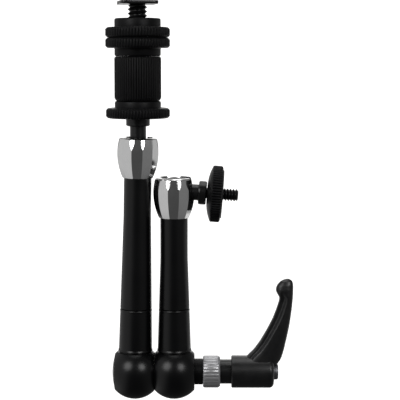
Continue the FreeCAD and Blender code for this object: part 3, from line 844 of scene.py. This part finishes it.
@dataclass
class ShoeAdapter:
    """Foot with its threaded post, two clamp rings, the knurled cylinder and its wheel."""

    foot_side: float = 18.6
    foot_thick: float = 1.8
    foot_turn: float = 12.0
    post_radius: float = 4.8
    post_end: float = -37.1

    def foot(self, shop: Workshop) -> None:
        """Square foot on its threaded post, with soft corners and edges.

        The outline is |x|^9 + |y|^9 = half^9, which is a square with small round corners.

        Args:
            shop: holder of the materials.
        """
        angles, power = around(96), 9
        shares = np.abs(np.cos(angles)) ** power + np.abs(np.sin(angles)) ** power
        reach = shares ** (-1.0 / power)
        half, low = self.foot_side / 2.0, -self.foot_thick
        rows = np.array(
            [
                (0.3, low),
                (half - 0.8, low),
                (half - 0.35, low),
                (half - 0.1, low + 0.1),
                (half, low + 0.35),
                (half, -0.35),
                (half - 0.1, -0.1),
                (half - 0.35, 0.0),
                (half - 0.8, 0.0),
                (0.3, 0.0),
            ]
        )
        rings = swept(rows[:, :1] * reach, angles + math.radians(self.foot_turn), rows[:, 1:])
        plate = shell("foot_plate", rings, shop.coat(BLACK_OXIDE), Body.ADAPTER)
        thread, climb = threaded_rings(
            self.post_end, low + 0.05, self.post_radius, depth=0.95, pitch=2.05, ramp=0.9
        )
        post = shell(
            "foot_post", thread, shop.coat(BLACK_OXIDE), Body.ADAPTER, shift=climb, sharp=50.0
        )
        for piece in (plate, post):
            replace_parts(piece, "shoe_foot")

    def cylinder(self, shop: Workshop) -> None:
        """Straight-knurled cylinder, bored for the post above and the stud below.

        Args:
            shop: holder of the materials.
        """
        low, high, radius, post_depth = -49.1, -27.2, 11.55, 10.5
        rows = [
            (SCREW_BORE, low),
            (radius - 1.5, low),
            (radius - 0.7, low + 0.25),
            (radius - 0.1, low + 1.2),
            (radius, low + 1.6),
            (radius, high - 1.0),
            (radius - 0.25, high - 0.45),
            (radius - 0.85, high),
            (POST_BORE, high),
            (POST_BORE, high - post_depth),
            (SCREW_BORE, high - post_depth),
        ]
        rings = toothed_rings(rows, 56, radius, KNURL_DEPTH, 8)
        piece = shell("knurled_cylinder", rings, shop.coat(MATTE_ANODISED), Body.ADAPTER, True)
        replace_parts(piece, "adapter_body")

    def build(self, shop: Workshop) -> None:
        """Every piece of the adapter.

        Args:
            shop: holder of the materials.
        """
        self.foot(shop)
        self.cylinder(shop)
        upper = KnurledRing(
            "upper_clamp_ring", "upper_ring_nut", Body.UPPER_RING,
            top=-8.6, flange=5.1, collar=4.3, radius=15.9, bore=POST_BORE,
        )
        lower = KnurledRing(
            "lower_clamp_ring", "lower_ring_nut", Body.LOWER_RING,
            top=-18.05, flange=5.1, collar=4.0, radius=15.9, bore=POST_BORE, collar_first=False,
        )
        wheel = KnurledRing(
            "jam_wheel", "shoe_lock_wheel", Body.WHEEL,
            top=-49.15, flange=5.0, collar=3.5, radius=15.8, bore=SCREW_BORE,
        )
        for ring in (upper, lower, wheel):
            ring.build(shop)


@dataclass
class CameraStud:
    """The short arm's ball stud with its camera thread and the lock disc on it."""

    droop: float = 4.4
    ball: float = 6.9
    shank: float = 4.0
    collar: float = 5.9
    screw: float = 3.175
    reach: float = 32.0

    def put(self, rings: Array) -> Array:
        """Turns rings made along +Z to the stud's own direction and place."""
        return leaned(rings, 90.0 + self.droop, (SHORT_BALL[0], 0.0, SHORT_BALL[1]))

    def stud(self, shop: Workshop) -> None:
        """Ball, shank and collar as one turned surface, and the thread on the same axis.

        Args:
            shop: holder of the materials.
        """
        relief, back = 2.65, 16.15
        meet = math.sqrt(self.ball**2 - self.shank**2)
        start = math.asin(meet / self.ball)
        globe = [
            (self.ball * math.cos(t), self.ball * math.sin(t))
            for t in np.linspace(-math.pi / 2 + 0.05, start, 22)
        ]
        rows = globe + [
            (self.shank, meet + 0.5),
            (self.shank, 12.0),
            (self.shank + 0.2, 12.25),
            (self.collar - 0.5, 12.25),
            (self.collar, 12.75),
            (self.collar, 15.65),
            (self.collar - 0.5, back),
            (relief, back),
            (relief, 16.6),
        ]
        rings = self.put(turned_rings(rows, around(64)))
        body = shell("camera_stud", rings, shop.coat(BLACK_OXIDE), Body.STUD)
        thread, climb = threaded_rings(
            16.5, self.reach, self.screw, depth=0.75, pitch=1.45, ramp=0.7
        )
        screw = shell(
            "camera_thread", self.put(thread), shop.coat(BLACK_OXIDE), Body.STUD,
            shift=climb, sharp=50.0,
        )
        for piece in (body, screw):
            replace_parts(piece, "screw_ball_stud")

    def disc(self, shop: Workshop) -> None:
        """Knurled disc with a domed back and a rounded rim.

        Args:
            shop: holder of the materials.
        """
        radius, curve, back, front, flat = 14.05, 22.5, 16.5, 23.75, 4.0
        dome = [
            (r, back + curve - math.sqrt(curve**2 - (r - flat) ** 2))
            for r in np.linspace(flat, 13.6, 15)
        ]
        rows = [
            (SCREW_BORE, back),
            *dome,
            (radius - 0.1, 18.95),
            (radius, 19.3),
            (radius, 22.95),
            (radius - 0.35, 23.5),
            (radius - 0.95, front),
            (SCREW_BORE, front),
        ]
        rings = self.put(toothed_rings(rows, KNURL_TEETH, radius, KNURL_DEPTH, 6))
        piece = shell("camera_disc", rings, shop.coat(MATTE_ANODISED), Body.DISC, True)
        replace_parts(piece, "lock_disc")

    def build(self, shop: Workshop) -> None:
        """The stud and its disc."""
        self.stud(shop)
        self.disc(shop)


@dataclass
class BarrelCap:
    """Chrome cap over a ball: curved flats, cone-cut corners, a wide mouth and a U slot.

    Attributes:
        node: the solid that it stands for.
        body: the body that it rides on.
        centre: x and z of the ball's centre.
        lean: degrees that the arm leans towards +X.
        slot_turn: degrees from +X to the slot's side.
        crisp: edges that turn by more degrees stay crisp, as where a flat meets the cone.
    """

    node: str
    body: Body
    centre: tuple[float, float]
    lean: float
    slot_turn: float
    rim: float = 6.6
    foot: float = -13.5
    crest: float = -0.7
    crest_radius: float = 10.2
    flat_curve: float = 30.0
    flats: int = 12
    cone_radius: float = 9.46
    cone_slope: float = 0.184
    rim_round: float = 1.1
    foot_round: float = 1.3
    foot_radius: float = 7.0
    mouth_radius: float = 7.5
    lip_radius: float = 5.15
    socket_radius: float = 6.95
    slot_width: float = 8.5
    slot_drop: float = 0.8
    crisp: float = 6.6

    def heights(self) -> Array:
        """Heights of the outer rings, closest together where the ends are rounded.

        Returns:
            The heights, from the foot up.
        """
        turn = np.linspace(0.0, math.pi / 2.0, 15)
        low = self.foot + self.foot_round * (1.0 - np.cos(turn))
        high = self.rim - self.rim_round * (1.0 - np.sin(turn))
        middle = np.linspace(low[-1], high[0], 34)[1:-1]
        return np.concatenate([low, middle, high])

    def outside(self, z: Array) -> Array:
        """Outer rings: the lesser of a flat's plane and the turned form.

        A flat stands at crest_radius - (R - sqrt(R^2 - (z - crest)^2)) from the axis. The turned
        form is a steep cone that is rounded over at the rim and at the foot. At each height the
        columns of a flat end where its plane meets the turned form, so that the edge is crisp.

        Args:
            z: heights of the rings.

        Returns:
            Points as [ring, place round, xyz].
        """
        curve = self.flat_curve
        plane = self.crest_radius - (curve - np.sqrt(curve**2 - (z - self.crest) ** 2))
        cone = self.cone_radius + self.cone_slope * (self.rim - z)
        above = np.clip(z - (self.rim - self.rim_round), 0.0, self.rim_round)
        cone = cone - (self.rim_round - np.sqrt(self.rim_round**2 - above**2))
        below = np.clip(self.foot + self.foot_round - z, 0.0, self.foot_round)
        ball = self.foot_radius + np.sqrt(self.foot_round**2 - below**2)
        cone = np.where(below > 0.0, np.minimum(cone, ball), cone)
        step = math.pi / self.flats
        meet = np.minimum(np.arccos(np.clip(plane / cone, -1.0, 1.0)), step)[:, None]
        on_flat = meet * np.linspace(-1.0, 1.0, 7)[None, :]
        on_cone = meet + (2.0 * step - 2.0 * meet) * np.linspace(0.0, 1.0, 7)[None, 1:-1]
        angle = np.concatenate([on_flat, on_cone], axis=1)
        flat_radius = np.minimum(plane[:, None] / np.cos(on_flat), cone[:, None])
        edge = np.minimum(plane[:, None] / np.cos(meet), cone[:, None])
        radius = np.concatenate([flat_radius, edge * np.ones_like(on_cone)], axis=1)
        turns = np.arange(self.flats) * 2.0 * step
        angle = (turns[None, :, None] + angle[:, None, :]).reshape(len(z), -1)
        return swept(np.tile(radius, (1, self.flats)), angle, z[:, None])

    def inside(self, columns: int) -> Array:
        """Inner rings from the mouth down through the ball's socket to the foot.

        Args:
            columns: points in a ring.

        Returns:
            Points as [ring, place round, xyz].
        """
        step = TURN / self.flats
        share = np.arange(columns) / columns * TURN - step / 2.0
        lip = math.sqrt(self.socket_radius**2 - self.lip_radius**2)
        start = math.asin(lip / self.socket_radius)
        socket = [
            (self.socket_radius * math.cos(a), self.socket_radius * math.sin(a))
            for a in np.linspace(start, 0.0, 12)
        ]
        rows = [
            (self.mouth_radius + 0.35, self.rim),
            (self.mouth_radius, self.rim - 0.25),
            (self.lip_radius + 0.3, lip + 0.25),
            *socket,
            (self.socket_radius, self.foot),
        ]
        return turned_rings(rows, share)

    def slot(self) -> Array:
        """Rings of the U that is cut out, from the axis outwards.

        Returns:
            Points as [ring, place round, xyz].
        """
        half, drop, top, far = self.slot_width / 2.0, -self.slot_drop, self.rim + 2.0, 14.0
        bend = np.linspace(0.0, -math.pi, 25)
        across = np.concatenate([[half], half * np.cos(bend), [-half]])
        up = np.concatenate([[top], drop + half * np.sin(bend), [top]])
        out = np.array([0.0, far])
        points = np.stack(
            [
                out[:, None] * np.ones_like(across),
                np.ones((2, 1)) * across,
                np.ones((2, 1)) * up,
            ],
            axis=-1,
        )
        a = math.radians(self.slot_turn)
        turn = np.array(
            [[math.cos(a), -math.sin(a), 0.0], [math.sin(a), math.cos(a), 0.0], [0.0, 0.0, 1.0]]
        )
        return points @ turn.T

    def build(self, shop: Workshop) -> None:
        """The cap with its slot.

        Args:
            shop: holder of the materials.
        """
        outer = self.outside(self.heights())
        rings = np.concatenate([outer, self.inside(outer.shape[1])])
        offset = (self.centre[0], 0.0, self.centre[1])
        placed = leaned(rings, self.lean, offset)
        piece = shell(f"{self.node}_barrel", placed, shop.coat(CHROME), self.body, True)
        tool = closed_mesh("slot_tool", leaned(self.slot(), self.lean, offset), False)
        cut_out(piece, tool, self.crisp)
        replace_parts(piece, self.node)


@dataclass
class ArmTube:
    """Tapered tube with a chamfer at its seam, and the knuckle's sloped edge under the seam.

    Attributes:
        lean: degrees that the arm leans towards +X.
        taper_top: height above the elbow where the taper ends, as seam and top are heights too.
    """

    arm: str
    body: Body
    x: float
    lean: float
    taper_top: float
    top: float
    seam_radius: float
    seam: float = 32.4

    def ring(self, shop: Workshop, name: str, rows: list[tuple[float, float]]) -> bpy.types.Object:
        """A turned piece on the arm's axis, in the arm's finish.

        Args:
            shop: holder of the materials.
            name: the piece's name.
            rows: closed profile as (radius, height above the elbow).

        Returns:
            The piece.
        """
        rings = leaned(turned_rings(rows, around(112)), self.lean, (self.x, 0.0, ELBOW_Z))
        piece = shell(name, rings, shop.coat(GLOSS_ANODISED), self.body, True)
        return piece

    def build(self, shop: Workshop) -> None:
        """The tube and the edge under it.

        Args:
            shop: holder of the materials.
        """
        r, seam = self.seam_radius, self.seam
        socket, bore, depth = 5.45, 4.4, 8.05
        tube = [
            (socket, seam),
            (r - 0.5, seam),
            (r - 0.02, seam + 0.48),
            (6.85, self.taper_top),
            (6.85, self.top - 0.4),
            (6.45, self.top),
            (bore, self.top),
            (bore, seam + depth),
            (socket, seam + depth),
        ]
        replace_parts(self.ring(shop, f"{self.arm}_arm_tube", tube), f"{self.arm}_tube")
        edge = [
            (r - 1.2, seam),
            (r - 1.2, seam - 1.4),
            (r + 0.03, seam - 1.4),
            (r + 0.12, seam - 0.76),
            (r + 0.13, seam - 0.7),
            (r, seam - 0.22),
            (r - 0.05, seam - 0.14),
            (r - 0.27, seam + 0.04),
            (r - 0.33, seam + 0.06),
        ]
        self.ring(shop, f"{self.arm}_seam_edge", edge)


@dataclass
class ElbowTrim:
    """Fine pieces round the elbow: the serrated clamp ring and the two neck lips."""

    ring_x: float = 32.1994
    ring_radius: float = 7.95
    ring_length: float = 8.65

    def ring(self, shop: Workshop) -> None:
        """Serrated ring with a chamfer at each end.

        Args:
            shop: holder of the materials.
        """
        r, end = self.ring_radius, self.ring_length
        bore = 3.05
        rows = [
            (bore, 0.0),
            (r - 0.5, 0.0),
            (r - 0.42, 0.05),
            (r - 0.05, 0.45),
            (r + 0.1, 0.7),
            (r + 0.1, end - 1.2),
            (r - 0.05, end - 0.95),
            (r - 0.62, end - 0.1),
            (r - 0.75, end),
            (bore, end),
        ]
        rings = leaned(
            toothed_rings(rows, 26, r + 0.1, 0.24, 12), 90.0, (self.ring_x, 0.0, ELBOW_Z)
        )
        piece = shell("serrated_ring", rings, shop.coat(NICKEL), Body.RING, True)
        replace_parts(piece, "clamp_ring")

    def lip(self, shop: Workshop, name: str, body: Body, x: float, lean: float) -> None:
        """Sloped rim at the foot of a neck, above the groove that parts it from its shoulder.

        Args:
            shop: holder of the materials.
            name: the piece's name.
            body: the body that it rides on.
            x: place of the knuckle's middle.
            lean: degrees that the arm leans towards +X.
        """
        low, high, full, inner, soft = 10.95, 12.2, 8.62, 7.6, 0.4
        edge = [
            (full - soft + soft * math.sin(a), low + soft - soft * math.cos(a))
            for a in np.linspace(0.0, math.pi / 2.0, 7)
        ]
        slope = [(full - 0.02, low + 0.46), (full - 0.2, high - 0.1), (full - 0.26, high)]
        rows = [(inner, high), (inner, low), *edge, *slope]
        rings = leaned(turned_rings(rows, around(96)), lean, (x, 0.0, ELBOW_Z))
        piece = shell(name, rings, shop.coat(GLOSS_ANODISED), body, True)

    def build(self, shop: Workshop) -> None:
        """The ring and both lips.

        Args:
            shop: holder of the materials.
        """
        self.ring(shop)
        self.lip(shop, "long_neck_lip", Body.LONG_ARM, LONG_ARM_X, LONG_ARM_LEAN)
        self.lip(shop, "short_neck_lip", Body.SHORT_ARM, SHORT_ARM_X, 0.0)


# The horn's outline and thickness in millimetres, as (height above the elbow, value). The edges
# are measured from the hub's inner end towards +X.
HORN_LEFT = (
    (4.5, 5.6), (6.4, 6.5), (7.9, 7.7), (9.4, 9.1), (10.9, 10.7), (12.4, 11.95), (13.9, 13.0),
    (15.4, 14.1), (18.4, 15.9), (21.4, 17.6), (24.4, 19.2), (27.4, 20.65), (30.4, 21.85),
    (33.4, 22.9), (35.4, 23.55), (36.9, 23.9), (37.9, 23.95), (38.9, 23.6), (39.9, 22.95),
    (40.9, 22.45), (42.0, 22.25), (43.2, 22.4), (44.4, 22.95), (45.4, 23.7), (46.3, 24.7),
    (47.0, 26.0), (47.4, 27.3),
)
HORN_RIGHT = (
    (4.5, 23.5), (6.4, 24.8), (7.9, 25.45), (9.4, 25.95), (12.4, 26.75), (15.4, 27.4),
    (18.4, 28.1), (21.4, 28.7), (24.4, 29.25), (27.4, 29.7), (30.4, 30.1), (33.4, 30.45),
    (37.9, 30.85), (40.9, 30.95), (43.4, 31.0), (44.9, 30.9), (46.0, 30.6), (46.8, 30.0),
    (47.4, 28.9),
)
HORN_THICK = (
    (4.5, 11.0), (9.0, 10.4), (18.0, 9.0), (27.0, 7.8), (33.0, 6.9), (36.0, 6.7),
    (39.0, 6.9), (42.0, 6.7), (44.5, 5.8), (46.2, 4.2), (47.4, 1.6),
)


@dataclass
class ClampingLever:
    """Horn-shaped handle on a round hub, on the elbow's bolt."""

    hub_x: float = 46.4994
    hub_radius: float = 8.1
    hub_length: float = 21.35

    def hub(self, shop: Workshop) -> None:
        """Hub with a rounded outer rim, open for its sleeve and its screw.

        Args:
            shop: holder of the materials.
        """
        r, end, soft = self.hub_radius, self.hub_length, 2.2
        sleeve, screw, edge = 5.6, 4.45, 0.35
        rim = [
            (r - soft + soft * math.cos(a), end - soft + soft * math.sin(a))
            for a in np.linspace(0.0, math.pi / 2.0, 8)
        ]
        rows = [(sleeve, 0.0), (r - edge, 0.0), (r, edge), (r, 6.0), (r, 12.0)] + rim
        rows += [(screw, end), (screw, 14.0), (sleeve, 13.6)]
        rings = leaned(turned_rings(rows, around(72)), 90.0, (self.hub_x, 0.0, ELBOW_Z))
        piece = shell("lever_hub", rings, shop.coat(GLASS_NYLON), Body.LEVER, True)
        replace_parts(piece, "lever_handle")

    def horn(self, shop: Workshop) -> None:
        """Horn: rings climb from the hub to the tip, with a thin flange along the hollow edge.

        Each ring is the superellipse |x/a|^2.4 + |y/b|^2.4 = 1. Its two edges and its thickness
        2b are read at its height from the tables by straight lines. Within 2.2 mm of the hollow
        edge the thickness is held to 54 % of that, and over the next 2 mm it rises in the smooth
        step 3t^2 - 2t^3. The flange dies out towards the tip.

        Args:
            shop: holder of the materials.
        """
        fine = np.concatenate([np.linspace(4.5, 45.9, 100), np.linspace(46.05, 47.4, 12)])
        lo, hi, deep = (
            np.interp(fine, *np.array(table).T) for table in (HORN_LEFT, HORN_RIGHT, HORN_THICK)
        )
        half = (hi - lo)[:, None] / 2.0
        angles = around(112)
        power = 2.0 / 2.4
        flange, bevel, thinned = 2.2, 2.0, 0.46
        x = np.sign(np.cos(angles)) * np.abs(np.cos(angles)) ** power
        y = np.sign(np.sin(angles)) * np.abs(np.sin(angles)) ** power
        across = half * (1.0 + x)
        fade = np.interp(fine, (4.5, 36.0, 42.0), (1.0, 1.0, 0.0))[:, None]
        step = np.clip((across - flange) / bevel, 0.0, 1.0)
        step = step * step * (3.0 - 2.0 * step)
        limit = deep[:, None] / 2.0 * (1.0 - thinned * fade * (1.0 - step))
        depth = np.minimum(deep[:, None] / 2.0 * np.abs(y), limit)
        rings = np.stack(
            [
                self.hub_x + lo[:, None] + across,
                np.sign(y) * depth,
                ELBOW_Z + fine[:, None] * np.ones_like(x),
            ],
            axis=-1,
        )
        piece = shell("lever_horn", rings, shop.coat(GLASS_NYLON), Body.LEVER, sharp=60.0)
        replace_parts(piece, "lever_handle")

    def build(self, shop: Workshop) -> None:
        """The handle's hub and horn."""
        self.hub(shop)
        self.horn(shop)


def main() -> None:
    """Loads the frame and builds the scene."""
    logging.basicConfig(level=logging.INFO, format="%(name)s %(message)s")
    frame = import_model()
    shop = Workshop()
    shop.dress_frame(frame)
    ShoeAdapter().build(shop)
    CameraStud().build(shop)
    BarrelCap("long_cap", Body.LONG_CAP, LONG_BALL, LONG_ARM_LEAN, slot_turn=90.0).build(shop)
    BarrelCap("short_cap", Body.SHORT_CAP, SHORT_BALL, 0.0, slot_turn=0.0).build(shop)
    ArmTube(
        "long", Body.LONG_ARM, LONG_ARM_X, LONG_ARM_LEAN,
        taper_top=79.5, top=102.25, seam_radius=7.914,
    ).build(shop)
    ArmTube(
        "short", Body.SHORT_ARM, SHORT_ARM_X, 0.0,
        taper_top=58.5, top=82.3, seam_radius=7.706,
    ).build(shop)
    ElbowTrim().build(shop)
    ClampingLever().build(shop)
    Studio().build()


if __name__ == "__main__":
    main()
